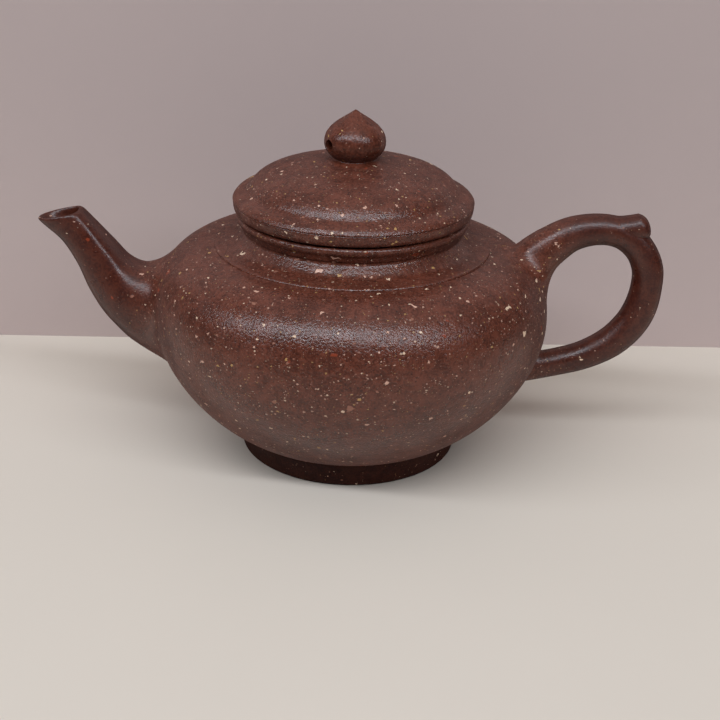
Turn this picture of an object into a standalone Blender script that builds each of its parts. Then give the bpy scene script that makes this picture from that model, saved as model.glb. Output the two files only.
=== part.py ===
"""Small side-handled Yixing clay teapot, in metres, +Z up.

The pot's own axis is Z, its foot stands on Z = 0, the spout points along -X and the handle along +X.
A pot of this kind is luted together from formed pieces, so each piece is its own solid and the slip
joints between them are thin gaps. The lid, with its rim line, flange and knob, hangs from one empty
on the pot's axis and lifts straight up.
"""
import math

import bmesh
import bpy
from mathutils import Matrix, Vector

MM = 0.001

# Driving dimensions
JOINT_GAP = 0.3 * MM
WALL = 2.8 * MM
REACH = 76.8 * MM              # spout tip and back of the handle, from the axis
BELLY_RADIUS = 48.5 * MM
BELLY_HEIGHT = 35.5 * MM
FOOT_RADIUS = 27.1 * MM
FOOT_TOP_RADIUS = 27.8 * MM
FOOT_HEIGHT = 5.7 * MM
FOOT_INNER_RADIUS = 23.1 * MM
BASE_RADIUS = 25.8 * MM        # opening in the body wall that the base disc fills
STEP_RADIUS = 33.6 * MM        # edge of the shoulder disc
STEP_HEIGHT = 52.9 * MM
STEP_RISE = 0.6 * MM
NECK_RADIUS = 26.9 * MM
NECK_TOP = 57.3 * MM
MOUTH_RADIUS = 28.4 * MM       # outside of the bead
MOUTH_BORE_RADIUS = 23.7 * MM
MOUTH_TOP = 61.0 * MM
LID_RADIUS = 29.2 * MM
LID_CREASE_HEIGHT = 64.1 * MM
LID_TOP = 73.5 * MM
FLANGE_CLEARANCE = 0.5 * MM
FLANGE_WALL = 2.4 * MM
FLANGE_BOTTOM = 52.6 * MM
VENT_RADIUS = 1.3 * MM
KNOB_RADIUS = 7.35 * MM
KNOB_NECK_RADIUS = 5.2 * MM
KNOB_WIDEST_HEIGHT = 78.5 * MM
KNOB_TIP_HEIGHT = 85.9 * MM
VENT_DIRECTION = math.radians(213)     # the knob's side hole, round Z from +X

TURN_STEPS = 40
SHARP_ANGLE = math.radians(40)

CLAY = (0.085, 0.034, 0.022)
CLAY_DARK = (0.062, 0.024, 0.017)


def clear_scene():
    for scene_object in list(bpy.data.objects):
        bpy.data.objects.remove(scene_object)


def new_collection(name):
    collection = bpy.data.collections.new(name)
    bpy.context.scene.collection.children.link(collection)
    return collection


def clay_material(name, colour, roughness):
    material = bpy.data.materials.new(name)
    material.use_nodes = True
    shader = material.node_tree.nodes["Principled BSDF"]
    shader.inputs["Base Color"].default_value = (*colour, 1.0)
    shader.inputs["Roughness"].default_value = roughness
    shader.inputs["Metallic"].default_value = 0.0
    return material


def bezier(start, handle_a, handle_b, end, count):
    """Points on one cubic curve, both ends included."""
    points = []
    for i in range(count):
        t = i / (count - 1)
        weights = ((1 - t) ** 3, 3 * t * (1 - t) ** 2, 3 * t ** 2 * (1 - t), t ** 3)
        corners = (start, handle_a, handle_b, end)
        points.append(tuple(sum(w * c[k] for w, c in zip(weights, corners)) for k in range(len(start))))
    return points


def in_mm(points):
    return [tuple(value * MM for value in point) for point in points]


def offset_inward(outline, distance):
    """The outline moved to its inner side; the outline runs from top to bottom at +X."""
    moved = []
    for i, (radius, height) in enumerate(outline):
        before = outline[max(i - 1, 0)]
        after = outline[min(i + 1, len(outline) - 1)]
        along = Vector((after[0] - before[0], after[1] - before[1])).normalized()
        moved.append((radius + along.y * distance, height - along.x * distance))
    return moved


def shade(mesh):
    """Smooth shading with creases kept."""
    mesh.shade_smooth()
    mesh.set_sharp_from_angle(angle=SHARP_ANGLE)


def mesh_object(name, mesh, collection, material=None):
    made = bpy.data.objects.new(name, mesh)
    collection.objects.link(made)
    if material:
        mesh.materials.append(material)
    return made


def turned(name, profile, collection, material, closed=True, steps=TURN_STEPS):
    """A profile in the XZ plane, down its outer side first, turned round Z."""
    mesh = bpy.data.meshes.new(name)
    vertices = [(radius, 0.0, height) for radius, height in profile]
    edges = [(i, i + 1) for i in range(len(vertices) - 1)]
    if closed:
        edges.append((len(vertices) - 1, 0))
    mesh.from_pydata(vertices, edges, [])
    made = mesh_object(name, mesh, collection, material)
    screw = made.modifiers.new("Turn", "SCREW")
    screw.axis = "Z"
    screw.steps = steps
    screw.render_steps = steps
    screw.use_merge_vertices = True
    screw.merge_threshold = 0.00001
    screw.use_smooth_shade = True
    return made


def loft(name, sections, collection, material=None):
    """A closed solid through rings of equal point counts, with flat end caps."""
    mesh = bpy.data.meshes.new(name)
    work = bmesh.new()
    rings = [[work.verts.new(point) for point in section] for section in sections]
    for lower, upper in zip(rings, rings[1:]):
        for i in range(len(lower)):
            j = (i + 1) % len(lower)
            work.faces.new((lower[i], lower[j], upper[j], upper[i]))
    work.faces.new(list(reversed(rings[0])))
    work.faces.new(rings[-1])
    bmesh.ops.recalc_face_normals(work, faces=work.faces)
    work.to_mesh(mesh)
    work.free()
    shade(mesh)
    return mesh_object(name, mesh, collection, material)


def boolean(made, cutter, operation="DIFFERENCE"):
    modifier = made.modifiers.new(operation.title(), "BOOLEAN")
    modifier.operation = operation
    modifier.solver = "EXACT"
    modifier.object = cutter
    cutter.hide_render = True
    cutter.display_type = "WIRE"
    return modifier


def section(centre, direction, half_width, half_depth, count=20):
    """An ellipse square to a direction in the XZ plane: half_width along Y, half_depth in the plane."""
    direction = Vector(direction).normalized()
    across = Vector((-direction.z, 0.0, direction.x))
    points = []
    for i in range(count):
        angle = 2 * math.pi * i / count
        place = Vector(centre) + across * (half_depth * math.cos(angle))
        points.append(place + Vector((0.0, half_width * math.sin(angle), 0.0)))
    return points


# The belly's outer outline, from the shoulder step down to the foot

def belly_outline(upper_count=9, lower_count=11):
    belly = (BELLY_RADIUS, BELLY_HEIGHT)
    upper = bezier((STEP_RADIUS, STEP_HEIGHT), (45.8 * MM, 51.7 * MM), (BELLY_RADIUS, 44.0 * MM), belly,
                   upper_count)
    lower = bezier(belly, (BELLY_RADIUS, 24.0 * MM), (38.0 * MM, 11.0 * MM),
                   (FOOT_TOP_RADIUS, FOOT_HEIGHT + JOINT_GAP), lower_count)
    return upper + lower[1:]


def belly_rings(collection, material, spout_bore):
    """The belly's wall in two rings that meet at its widest line."""
    upper_count = 9
    outer = belly_outline(upper_count)
    inner = offset_inward(outer, WALL)
    seam = BELLY_HEIGHT + JOINT_GAP
    widest = upper_count - 1
    upper_outer = [(STEP_RADIUS + JOINT_GAP, STEP_HEIGHT)] + outer[1:widest] + [(BELLY_RADIUS, seam)]
    upper_inner = [(BELLY_RADIUS - WALL, seam)] + list(reversed(inner[1:widest]))
    top_inner = (STEP_RADIUS + JOINT_GAP, inner[0][1])
    upper = turned("belly_upper", upper_outer + upper_inner + [top_inner], collection, material)

    floor = FOOT_HEIGHT + JOINT_GAP
    bottom = [(BASE_RADIUS, floor), (BASE_RADIUS, floor + WALL - 0.1 * MM)]
    lower_inner = [point for point in inner[widest:] if point[0] > BASE_RADIUS + 1.0 * MM]
    lower = turned("belly_lower", outer[widest:] + bottom + list(reversed(lower_inner)), collection, material)
    for ring in (upper, lower):
        boolean(ring, spout_bore)


def shoulder_disc(collection, material):
    top = STEP_HEIGHT + STEP_RISE
    bore = MOUTH_BORE_RADIUS + 0.4 * MM
    profile = [
        (bore, top),
        (STEP_RADIUS - 0.5 * MM, top),
        (STEP_RADIUS, top - 0.4 * MM),
        (STEP_RADIUS, STEP_HEIGHT - WALL),
        (bore, STEP_HEIGHT - WALL + 0.8 * MM),
    ]
    return turned("shoulder_disc", profile, collection, material)


def neck_ring(collection, material):
    bottom = STEP_HEIGHT + STEP_RISE + JOINT_GAP
    cove = bezier((NECK_RADIUS, NECK_TOP), (26.9 * MM, 55.2 * MM), (29.0 * MM, 54.2 * MM),
                  (32.6 * MM, bottom), 8)
    inner = MOUTH_BORE_RADIUS + 0.3 * MM
    return turned("neck_ring", cove + [(inner, bottom), (inner, NECK_TOP)], collection, material)


def mouth_ring(collection, material):
    bottom = NECK_TOP + JOINT_GAP
    bead = bezier((MOUTH_RADIUS - 0.9 * MM, MOUTH_TOP), (MOUTH_RADIUS + 0.4 * MM, MOUTH_TOP - 0.3 * MM),
                  (MOUTH_RADIUS + 0.1 * MM, bottom + 0.6 * MM), (MOUTH_RADIUS - 1.6 * MM, bottom), 8)
    inner = [(MOUTH_BORE_RADIUS, bottom), (MOUTH_BORE_RADIUS, MOUTH_TOP)]
    return turned("mouth_ring", bead + inner, collection, material)


def base_disc(collection, material):
    radius = BASE_RADIUS - JOINT_GAP
    bottom = FOOT_HEIGHT + JOINT_GAP
    profile = [(0.0, bottom + WALL), (radius, bottom + WALL), (radius, bottom), (0.0, bottom)]
    return turned("base_disc", profile, collection, material, closed=False)


def foot_ring(collection, material):
    rounding = 0.7 * MM
    profile = [
        (FOOT_TOP_RADIUS, FOOT_HEIGHT),
        (FOOT_RADIUS, rounding),
        (FOOT_RADIUS - rounding, 0.0),
        (FOOT_INNER_RADIUS + rounding, 0.0),
        (FOOT_INNER_RADIUS, rounding),
        (FOOT_INNER_RADIUS - 0.8 * MM, FOOT_HEIGHT),
    ]
    return turned("foot_ring", profile, collection, material)


# Spout: rings along one bend, given as centre (x, z), half width (Y) and half depth

SPOUT_RINGS = in_mm([
    (-36.5, 31.6, 11.2, 12.4),
    (-41.5, 32.8, 11.0, 12.3),
    (-46.3, 34.5, 10.4, 11.7),
    (-51.1, 36.5, 9.4, 10.3),
    (-55.7, 39.2, 8.3, 8.1),
    (-59.4, 43.0, 7.1, 6.35),
    (-62.9, 48.6, 5.9, 5.15),
    (-67.4, 54.7, 4.7, 4.5),
    (-72.5, 59.8, 3.95, 4.8),
    (-76.8, 64.7, 3.9, 4.9),
])
SPOUT_WALL = (3.2 * MM, 1.2 * MM)      # at the root and at the tip
SPOUT_MOUTH = ((-REACH, 57.3 * MM), (-67.5 * MM, 59.3 * MM))


def spout_sections(thinner=(0.0, 0.0)):
    """Rings square to the spout's path; thinner takes a wall off, from root to tip."""
    last = len(SPOUT_RINGS) - 1
    sections = []
    for i, (x, z, half_width, half_depth) in enumerate(SPOUT_RINGS):
        before = SPOUT_RINGS[max(i - 1, 0)]
        after = SPOUT_RINGS[min(i + 1, last)]
        direction = (after[0] - before[0], 0.0, after[1] - before[1])
        taken = thinner[0] + (thinner[1] - thinner[0]) * i / last
        sections.append(section((x, 0.0, z), direction, half_width - taken, half_depth - taken))
    return sections


def box_cutter(name, low, high, collection, transform=None):
    mesh = bpy.data.meshes.new(name)
    work = bmesh.new()
    bmesh.ops.create_cube(work, size=1.0)
    low = Vector(low)
    high = Vector(high)
    size = high - low
    centre = (low + high) / 2
    bmesh.ops.scale(work, vec=size, verts=work.verts)
    bmesh.ops.translate(work, vec=centre, verts=work.verts)
    work.to_mesh(mesh)
    work.free()
    made = mesh_object(name, mesh, collection)
    if transform:
        mesh.transform(transform)
    return made


def mouth_cutter(cutters):
    """A block whose underside is the spout's slanting mouth plane."""
    (tip_x, tip_z), (back_x, back_z) = SPOUT_MOUTH
    slope = math.atan2(back_z - tip_z, back_x - tip_x)
    place = Matrix.Translation((tip_x, 0.0, tip_z)) @ Matrix.Rotation(-slope, 4, "Y")
    size = 30.0 * MM
    return box_cutter("mouth_cut", (-size, -size, 0.0), (size, size, size), cutters, place)


def belly_envelope(cutters, clearance, name):
    """The whole belly as one solid, grown by a clearance."""
    outline = offset_inward(belly_outline(), -clearance)
    top = [(0.0, outline[0][1])]
    bottom = [(0.0, outline[-1][1])]
    return turned(name, top + outline + bottom, cutters, None, closed=False)


def spout(collection, material, bore, envelope, cutters):
    made = loft("spout", spout_sections(), collection, material)
    boolean(made, bore)
    boolean(made, envelope)
    boolean(made, mouth_cutter(cutters))
    return made


def spout_bore(cutters):
    """The channel, run on through the wall and out past the spout's mouth."""
    sections = spout_sections(SPOUT_WALL)
    inward = [point + Vector((6.0 * MM, 0.0, -0.3 * MM)) for point in sections[0]]
    outward = [point + Vector((-2.0 * MM, 0.0, 2.3 * MM)) for point in sections[-1]]
    return loft("spout_bore", [inward] + sections + [outward], cutters)


STRAINER_CENTRE = (-41.0 * MM, 0.0, 33.0 * MM)
STRAINER_RADIUS = 11.6 * MM
STRAINER_WALL = 1.6 * MM
STRAINER_HOLE_RADIUS = 1.1 * MM
STRAINER_HOLE_RING = (34, 6)           # its angle from the dome's pole, and how many holes it has


def strainer(collection, material, cutters):
    """A pierced dome that bulges into the pot, its skirt cut to sit against the wall."""
    outer_radius = STRAINER_RADIUS
    inner_radius = STRAINER_RADIUS - STRAINER_WALL
    skirt = -10.0 * MM
    steps = 6
    outer = []
    inner = []
    for i in range(steps + 1):
        angle = math.pi / 2 * i / steps
        outer.append((outer_radius * math.sin(angle), outer_radius * math.cos(angle)))
        inner.append((inner_radius * math.sin(angle), inner_radius * math.cos(angle)))
    profile = outer + [(outer_radius, skirt), (inner_radius, skirt)] + list(reversed(inner))
    made = turned("strainer", profile, collection, material, closed=False, steps=24)
    made.rotation_euler = (0.0, math.radians(90), 0.0)
    made.location = STRAINER_CENTRE
    boolean(made, belly_envelope(cutters, -(WALL + JOINT_GAP), "pot_inside"), "INTERSECT")
    polar, count = STRAINER_HOLE_RING
    work = bmesh.new()
    tilts = [(0.0, 0.0)] + [(math.radians(polar), 2 * math.pi * i / count) for i in range(count)]
    for tilt, turn in tilts:
        place = Matrix.Rotation(turn, 4, "Z") @ Matrix.Rotation(tilt, 4, "Y")
        place = place @ Matrix.Translation((0.0, 0.0, STRAINER_RADIUS))
        bmesh.ops.create_cone(work, cap_ends=True, segments=10, radius1=STRAINER_HOLE_RADIUS,
                              radius2=STRAINER_HOLE_RADIUS, depth=6.0 * MM, matrix=place)
    mesh = bpy.data.meshes.new("strainer_holes")
    work.to_mesh(mesh)
    work.free()
    holes = mesh_object("strainer_holes", mesh, cutters)
    holes.rotation_euler = made.rotation_euler
    holes.location = made.location
    boolean(made, holes)
    return made


# Handle: centre line (x, z) and radius, from the upper root round to the lower root

HANDLE_PATH = in_mm([
    (39.5, 41.0, 5.9),
    (41.3, 45.3, 5.9),
    (44.3, 49.6, 5.6),
    (48.3, 53.4, 4.9),
    (53.5, 56.75, 4.2),
    (60.0, 58.05, 3.8),
    (65.6, 57.0, 3.75),
    (70.05, 53.4, 3.7),
    (72.6, 48.5, 3.8),
    (72.9, 43.4, 3.9),
    (71.8, 37.9, 4.05),
    (69.4, 33.0, 4.05),
    (65.1, 28.4, 3.9),
    (58.8, 24.8, 3.6),
    (51.6, 22.6, 3.45),
    (44.4, 21.1, 3.6),
    (39.3, 20.2, 3.75),
    (34.3, 19.3, 3.8),
])
TAIL_PATH = in_mm([
    (57.0, 57.9, 3.8),
    (61.0, 57.95, 3.7),
    (65.0, 58.0, 3.5),
    (68.0, 58.5, 3.4),
    (70.2, 59.0, 3.35),
    (71.7, 59.3, 3.1),
])


def rod(name, path, collection, resolution):
    """A round rod of changing radius along a smooth path in the XZ plane, as a mesh."""
    curve = bpy.data.curves.new(name, "CURVE")
    curve.dimensions = "3D"
    curve.bevel_depth = 1.0
    curve.bevel_resolution = 3
    curve.use_fill_caps = True
    spline = curve.splines.new("BEZIER")
    spline.resolution_u = resolution
    spline.bezier_points.add(len(path) - 1)
    for point, (x, z, radius) in zip(spline.bezier_points, path):
        point.co = (x, 0.0, z)
        point.radius = radius
        point.handle_left_type = "AUTO"
        point.handle_right_type = "AUTO"
    source = bpy.data.objects.new(name + "_path", curve)
    collection.objects.link(source)
    graph = bpy.context.evaluated_depsgraph_get()
    mesh = bpy.data.meshes.new_from_object(source.evaluated_get(graph))
    work = bmesh.new()
    work.from_mesh(mesh)
    bmesh.ops.remove_doubles(work, verts=work.verts, dist=0.00001)
    bmesh.ops.recalc_face_normals(work, faces=work.faces)
    work.to_mesh(mesh)
    work.free()
    mesh.materials.clear()
    shade(mesh)
    made = mesh_object(name, mesh, collection)
    made.matrix_world = source.matrix_world
    bpy.data.objects.remove(source)
    return made


def handle(collection, material, envelope, cutters):
    made = rod("handle", HANDLE_PATH, collection, 3)
    made.data.materials.append(material)
    tail = rod("handle_tail", TAIL_PATH, cutters, 3)
    boolean(made, tail, "UNION")
    boolean(made, envelope)
    return made


# Lid

def lid_dome(collection, material):
    outer = in_mm([(1.3, 73.6), (6.0, LID_TOP / MM), (12.0, 72.9), (18.0, 71.65), (22.0, 70.05),
                   (24.5, 68.1), (25.5, 66.8), (26.6, 66.15), (27.8, 65.7), (28.8, 64.95)])
    crease = [(LID_RADIUS, LID_CREASE_HEIGHT + JOINT_GAP / 2)]
    seat = LID_CREASE_HEIGHT + JOINT_GAP / 2
    flange_inner = MOUTH_BORE_RADIUS - FLANGE_CLEARANCE - FLANGE_WALL
    under = [(flange_inner, seat)] + in_mm([(17.5, 66.9), (12.0, 69.0), (6.0, 70.0), (1.3, 70.2)])
    return turned("lid_dome", outer + crease + under, collection, material)


def lid_rim_ring(collection, material):
    top = LID_CREASE_HEIGHT - JOINT_GAP / 2
    bottom = MOUTH_TOP + JOINT_GAP
    inner = MOUTH_BORE_RADIUS - FLANGE_CLEARANCE + JOINT_GAP
    profile = [
        (LID_RADIUS - 0.05 * MM, top),
        (LID_RADIUS - 0.55 * MM, bottom + 0.9 * MM),
        (LID_RADIUS - 1.1 * MM, bottom),
        (inner, bottom),
        (inner, top),
    ]
    return turned("lid_rim_ring", profile, collection, material)


def lid_flange(collection, material):
    outer = MOUTH_BORE_RADIUS - FLANGE_CLEARANCE
    inner = outer - FLANGE_WALL
    top = LID_CREASE_HEIGHT - JOINT_GAP / 2
    chamfer = 0.6 * MM
    profile = [
        (outer, top),
        (outer, FLANGE_BOTTOM + chamfer),
        (outer - chamfer, FLANGE_BOTTOM),
        (inner + 0.4 * MM, FLANGE_BOTTOM),
        (inner, top),
    ]
    return turned("lid_flange", profile, collection, material)


def knob(collection, material, cutters):
    base = LID_TOP + JOINT_GAP
    widest = (KNOB_RADIUS, KNOB_WIDEST_HEIGHT)
    tip = (0.0, KNOB_TIP_HEIGHT)
    crown = bezier(tip, (1.8 * MM, 84.2 * MM), (KNOB_RADIUS, 82.0 * MM), widest, 9)
    under = bezier(widest, (KNOB_RADIUS, 75.6 * MM), (KNOB_NECK_RADIUS + 0.2 * MM, 75.6 * MM),
                   (KNOB_NECK_RADIUS, 74.6 * MM), 7)
    foot = [(6.1 * MM, base + 0.3 * MM), (6.2 * MM, base), (0.0, base)]
    made = turned("knob", crown + under[1:] + foot, collection, material, closed=False, steps=32)
    work = bmesh.new()
    shaft_top = KNOB_WIDEST_HEIGHT - 0.6 * MM
    shaft_bottom = base - 2.0 * MM
    bmesh.ops.create_cone(work, cap_ends=True, segments=14, radius1=VENT_RADIUS, radius2=VENT_RADIUS,
                          depth=shaft_top - shaft_bottom,
                          matrix=Matrix.Translation((0.0, 0.0, (shaft_top + shaft_bottom) / 2)))
    shaft = bpy.data.meshes.new("vent_shaft")
    work.to_mesh(shaft)
    work.free()
    side = bmesh.new()
    length = KNOB_RADIUS * 1.5
    place = Matrix.Translation((0.0, 0.0, KNOB_WIDEST_HEIGHT - 0.6 * MM))
    place = place @ Matrix.Rotation(VENT_DIRECTION, 4, "Z") @ Matrix.Rotation(math.radians(90), 4, "Y")
    place = place @ Matrix.Translation((0.0, 0.0, length / 2 - 0.4 * MM))
    bmesh.ops.create_cone(side, cap_ends=True, segments=14, radius1=VENT_RADIUS, radius2=VENT_RADIUS,
                          depth=length, matrix=place)
    side_hole = bpy.data.meshes.new("vent_side")
    side.to_mesh(side_hole)
    side.free()
    boolean(made, mesh_object("vent_shaft", shaft, cutters))
    boolean(made, mesh_object("vent_side", side_hole, cutters))
    return made


def build():
    clear_scene()
    parts = new_collection("yixing_teapot")
    cutters = new_collection("cutters")
    body_clay = clay_material("body_clay", CLAY, 0.5)
    lid_clay = clay_material("lid_clay", CLAY, 0.52)
    fine_clay = clay_material("fine_clay", CLAY_DARK, 0.42)
    inner_clay = clay_material("inner_clay", CLAY, 0.75)

    bore = spout_bore(cutters)
    spout_envelope = belly_envelope(cutters, JOINT_GAP, "belly_envelope")
    belly_rings(parts, body_clay, bore)
    shoulder_disc(parts, body_clay)
    neck_ring(parts, body_clay)
    mouth_ring(parts, body_clay)
    base_disc(parts, inner_clay)
    foot_ring(parts, fine_clay)
    spout(parts, fine_clay, bore, spout_envelope, cutters)
    strainer(parts, inner_clay, cutters)
    handle(parts, fine_clay, spout_envelope, cutters)

    lift = bpy.data.objects.new("lid_lift_axis", None)
    parts.objects.link(lift)
    lift.location = (0.0, 0.0, MOUTH_TOP)
    lid_pieces = [
        lid_dome(parts, lid_clay),
        lid_rim_ring(parts, lid_clay),
        lid_flange(parts, inner_clay),
        knob(parts, fine_clay, cutters),
    ]
    bpy.context.view_layer.update()
    for piece in lid_pieces:
        piece.parent = lift
        piece.matrix_parent_inverse = lift.matrix_world.inverted()


build()
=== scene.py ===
"""Speckled clay teapot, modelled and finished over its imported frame.

Everything is in metres. The pot's axis is Z, the spout points along -X and the handle along +X.
"""
import math

import bmesh
import bpy
import numpy as np
from mathutils import Matrix, Vector


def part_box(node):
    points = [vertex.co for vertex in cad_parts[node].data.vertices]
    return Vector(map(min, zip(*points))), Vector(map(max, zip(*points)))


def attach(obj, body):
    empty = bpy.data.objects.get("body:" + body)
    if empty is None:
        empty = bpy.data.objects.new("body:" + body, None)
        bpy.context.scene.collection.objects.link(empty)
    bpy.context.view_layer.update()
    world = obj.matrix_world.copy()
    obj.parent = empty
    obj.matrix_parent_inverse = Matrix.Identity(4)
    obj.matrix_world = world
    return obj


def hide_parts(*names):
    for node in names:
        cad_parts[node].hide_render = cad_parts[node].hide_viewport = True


bl_info = {
    "name": "Speckled Clay Teapot",
    "version": (1, 0, 0),
    "blender": (4, 5, 0),
    "location": "3D View > Sidebar > Teapot",
    "description": "Builds a small speckled clay teapot piece by piece, with its finishes and its studio",
    "category": "Add Mesh",
}

MM = 0.001
# A pool of light is painted on the floor and the wall: pale round the pot, then painted darker, as painted
# shade, further out.
LIT_POOL_REACH = 0.17  # the floor and the wall are pale this far from the pot's axis
LIT_POOL_FADE = 0.07  # and turn to their far tone over this distance
FAR_SHADE_TONE = 0.3
FLOOR_REACH = 4.0
WALL_REACH = 1.5
WALL_HEIGHT = 0.9
WALL_TURN = math.radians(1.5)
CAMERA_PLACE = (0.0026, -0.3247, 0.1646)
CAMERA_DOWN = math.radians(23.77)
CAMERA_ROLL = math.radians(1.6)

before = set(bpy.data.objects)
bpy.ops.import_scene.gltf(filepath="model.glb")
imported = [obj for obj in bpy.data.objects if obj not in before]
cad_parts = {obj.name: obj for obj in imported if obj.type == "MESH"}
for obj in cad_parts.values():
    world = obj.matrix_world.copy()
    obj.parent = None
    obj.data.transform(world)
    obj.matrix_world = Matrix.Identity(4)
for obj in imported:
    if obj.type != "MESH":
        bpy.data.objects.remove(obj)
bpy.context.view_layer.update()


def widest(node):
    """Half the width across Y of a turned CAD piece."""
    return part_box(node)[1].y


def top_of(node):
    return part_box(node)[1].z


def bottom_of(node):
    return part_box(node)[0].z


BELLY_RADIUS = widest("belly_lower")
STEP_RADIUS = widest("shoulder_disc")
DISC_TOP = top_of("shoulder_disc")
STEP_HEIGHT = top_of("belly_upper")
FOOT_TOP_RADIUS = widest("foot_ring")
FOOT_TOP = top_of("foot_ring")
BELLY_FLOOR = bottom_of("belly_lower")
BASE_RADIUS = widest("base_disc")
NECK_TOP = top_of("neck_ring")
MOUTH_TOP = top_of("mouth_ring")
MOUTH_RADIUS = widest("mouth_ring")
LID_RADIUS = widest("lid_dome")
LID_SEAT = bottom_of("lid_dome")
RIM_BOTTOM = bottom_of("lid_rim_ring")
FLANGE_RADIUS = widest("lid_flange")
FLANGE_BOTTOM = bottom_of("lid_flange")
LID_TOP = top_of("lid_dome")
KNOB_RADIUS = widest("knob")
KNOB_BOTTOM = bottom_of("knob")
KNOB_TIP = top_of("knob")
SPOUT_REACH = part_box("spout")[0].x


# Curves and meshes

def spline(points, steps=8):
    """A smooth run through every given point."""
    given = np.array(points, float)
    padded = np.vstack([2 * given[0] - given[1], given, 2 * given[-1] - given[-2]])
    t = np.linspace(0, 1, steps, endpoint=False)[:, None]
    runs = []
    for a, b, c, d in zip(padded, padded[1:], padded[2:], padded[3:]):
        runs.append(0.5 * (2 * b + (c - a) * t + (2 * a - 5 * b + 4 * c - d) * t ** 2
                           + (3 * b - a - 3 * c + d) * t ** 3))
    return np.vstack(runs + [given[-1:]])


def bezier(start, handle_a, handle_b, end, steps=24):
    t = np.linspace(0, 1, steps)[:, None]
    a, b, c, d = (np.array(point, float) for point in (start, handle_a, handle_b, end))
    return (1 - t) ** 3 * a + 3 * t * (1 - t) ** 2 * b + 3 * t ** 2 * (1 - t) * c + t ** 3 * d


def in_mm(points):
    return [tuple(value * MM for value in point) for point in points]


def beside(radius, height, offsets):
    """Profile points at offsets in millimetres from one point."""
    return [(radius + across * MM, height + up * MM) for across, up in offsets]


def make_mesh(name, vertices, faces, crease=38):
    """A closed mesh that faces out, smooth but for its creases."""
    mesh = bpy.data.meshes.new(name)
    mesh.from_pydata([tuple(v) for v in vertices], [], faces)
    work = bmesh.new()
    work.from_mesh(mesh)
    bmesh.ops.remove_doubles(work, verts=work.verts, dist=0.000002)
    bmesh.ops.recalc_face_normals(work, faces=work.faces)
    work.to_mesh(mesh)
    work.free()
    mesh.shade_smooth()
    mesh.set_sharp_from_angle(angle=math.radians(crease))
    made = bpy.data.objects.new(name, mesh)
    bpy.context.scene.collection.objects.link(made)
    return made


def bridge(faces, lower, upper):
    """Faces between two rings of vertex numbers, either of which may be one pole."""
    if len(lower) == 1 and len(upper) == 1:
        return
    count = max(len(lower), len(upper))
    for i in range(count):
        j = (i + 1) % count
        corners = []
        for number in (lower[i % len(lower)], lower[j % len(lower)],
                       upper[j % len(upper)], upper[i % len(upper)]):
            if number not in corners:
                corners.append(number)
        faces.append(corners)


def rings_to_mesh(name, rings, closed=False, crease=38):
    """Rings of points joined into one skin. A ring of one point is a pole. closed joins both ends."""
    vertices = []
    numbered = []
    for ring in rings:
        numbered.append(list(range(len(vertices), len(vertices) + len(ring))))
        vertices.extend(ring)
    faces = []
    for lower, upper in zip(numbered, numbered[1:]):
        bridge(faces, lower, upper)
    if closed:
        bridge(faces, numbered[-1], numbered[0])
    return make_mesh(name, vertices, faces, crease)


def turn(name, profile, segments=176, crease=38):
    """A profile of (radius, height) turned round Z. It's closed up unless both its ends are on the axis."""
    angles = np.arange(segments) * 2 * math.pi / segments
    rings = []
    for radius, height in profile:
        if radius < 0.000001:
            rings.append([(0.0, 0.0, height)])
        else:
            rings.append([(radius * math.cos(a), radius * math.sin(a), height) for a in angles])
    on_axis = len(rings[0]) == 1 and len(rings[-1]) == 1
    return rings_to_mesh(name, rings, closed=not on_axis, crease=crease)


def cut(made, cutter):
    """Takes the cutter out of the piece and removes it."""
    modifier = made.modifiers.new("Cut", "BOOLEAN")
    modifier.operation = "DIFFERENCE"
    modifier.solver = "EXACT"
    modifier.object = cutter
    bake_modifiers(made)
    bpy.data.objects.remove(cutter)


def bake_modifiers(made):
    bpy.context.view_layer.update()
    graph = bpy.context.evaluated_depsgraph_get()
    mesh = bpy.data.meshes.new_from_object(made.evaluated_get(graph))
    made.modifiers.clear()
    made.data = mesh


def seat(made, body, nodes, material):
    """Puts a finished piece on its body in place of its CAD nodes."""
    made.data.materials.clear()
    made.data.materials.append(material)
    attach(made, body)
    if nodes:
        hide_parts(*nodes)
    return made


# The belly's skin, which the spout and the handle grow out of

def belly_skin():
    """The belly's outer outline, from the step down to its floor."""
    belly_height = 35.5 * MM
    upper = bezier((STEP_RADIUS, STEP_HEIGHT), (45.8 * MM, 51.7 * MM), (BELLY_RADIUS, 44.0 * MM),
                   (BELLY_RADIUS, belly_height), 40)
    lower = bezier((BELLY_RADIUS, belly_height), (BELLY_RADIUS, 24.0 * MM), (38.0 * MM, 11.0 * MM),
                   (FOOT_TOP_RADIUS, BELLY_FLOOR), 48)
    return np.vstack([upper, lower[1:]])


def inward(outline, distance):
    along = np.gradient(outline, axis=0)
    along /= np.linalg.norm(along, axis=1)[:, None]
    return outline + np.column_stack([along[:, 1], -along[:, 0]]) * distance


def over_skin(points, outline):
    """Each point's height over the turned skin, and the skin's outward direction there."""
    radii = np.hypot(points[:, 0], points[:, 1])
    flat = np.column_stack([radii, points[:, 2]])
    start = outline[:-1]
    span = outline[1:] - start
    share = ((flat[:, None, :] - start) * span).sum(2) / (span ** 2).sum(1)
    nearest = start + span * np.clip(share, 0, 1)[:, :, None]
    gap = flat[:, None, :] - nearest
    distance = np.linalg.norm(gap, axis=2)
    best = distance.argmin(1)
    rows = np.arange(len(points))
    slope = np.gradient(outline, axis=0)
    along = slope[best] + (slope[best + 1] - slope[best]) * np.clip(share[rows, best], 0, 1)[:, None]
    along /= np.linalg.norm(along, axis=1)[:, None]
    out = np.column_stack([-along[:, 1], along[:, 0]])
    height = (gap[rows, best] * out).sum(1)
    round_z = points[:, :2] / np.maximum(radii, 1e-9)[:, None]
    return height, np.column_stack([round_z * out[:, :1], out[:, 1:]])


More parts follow.
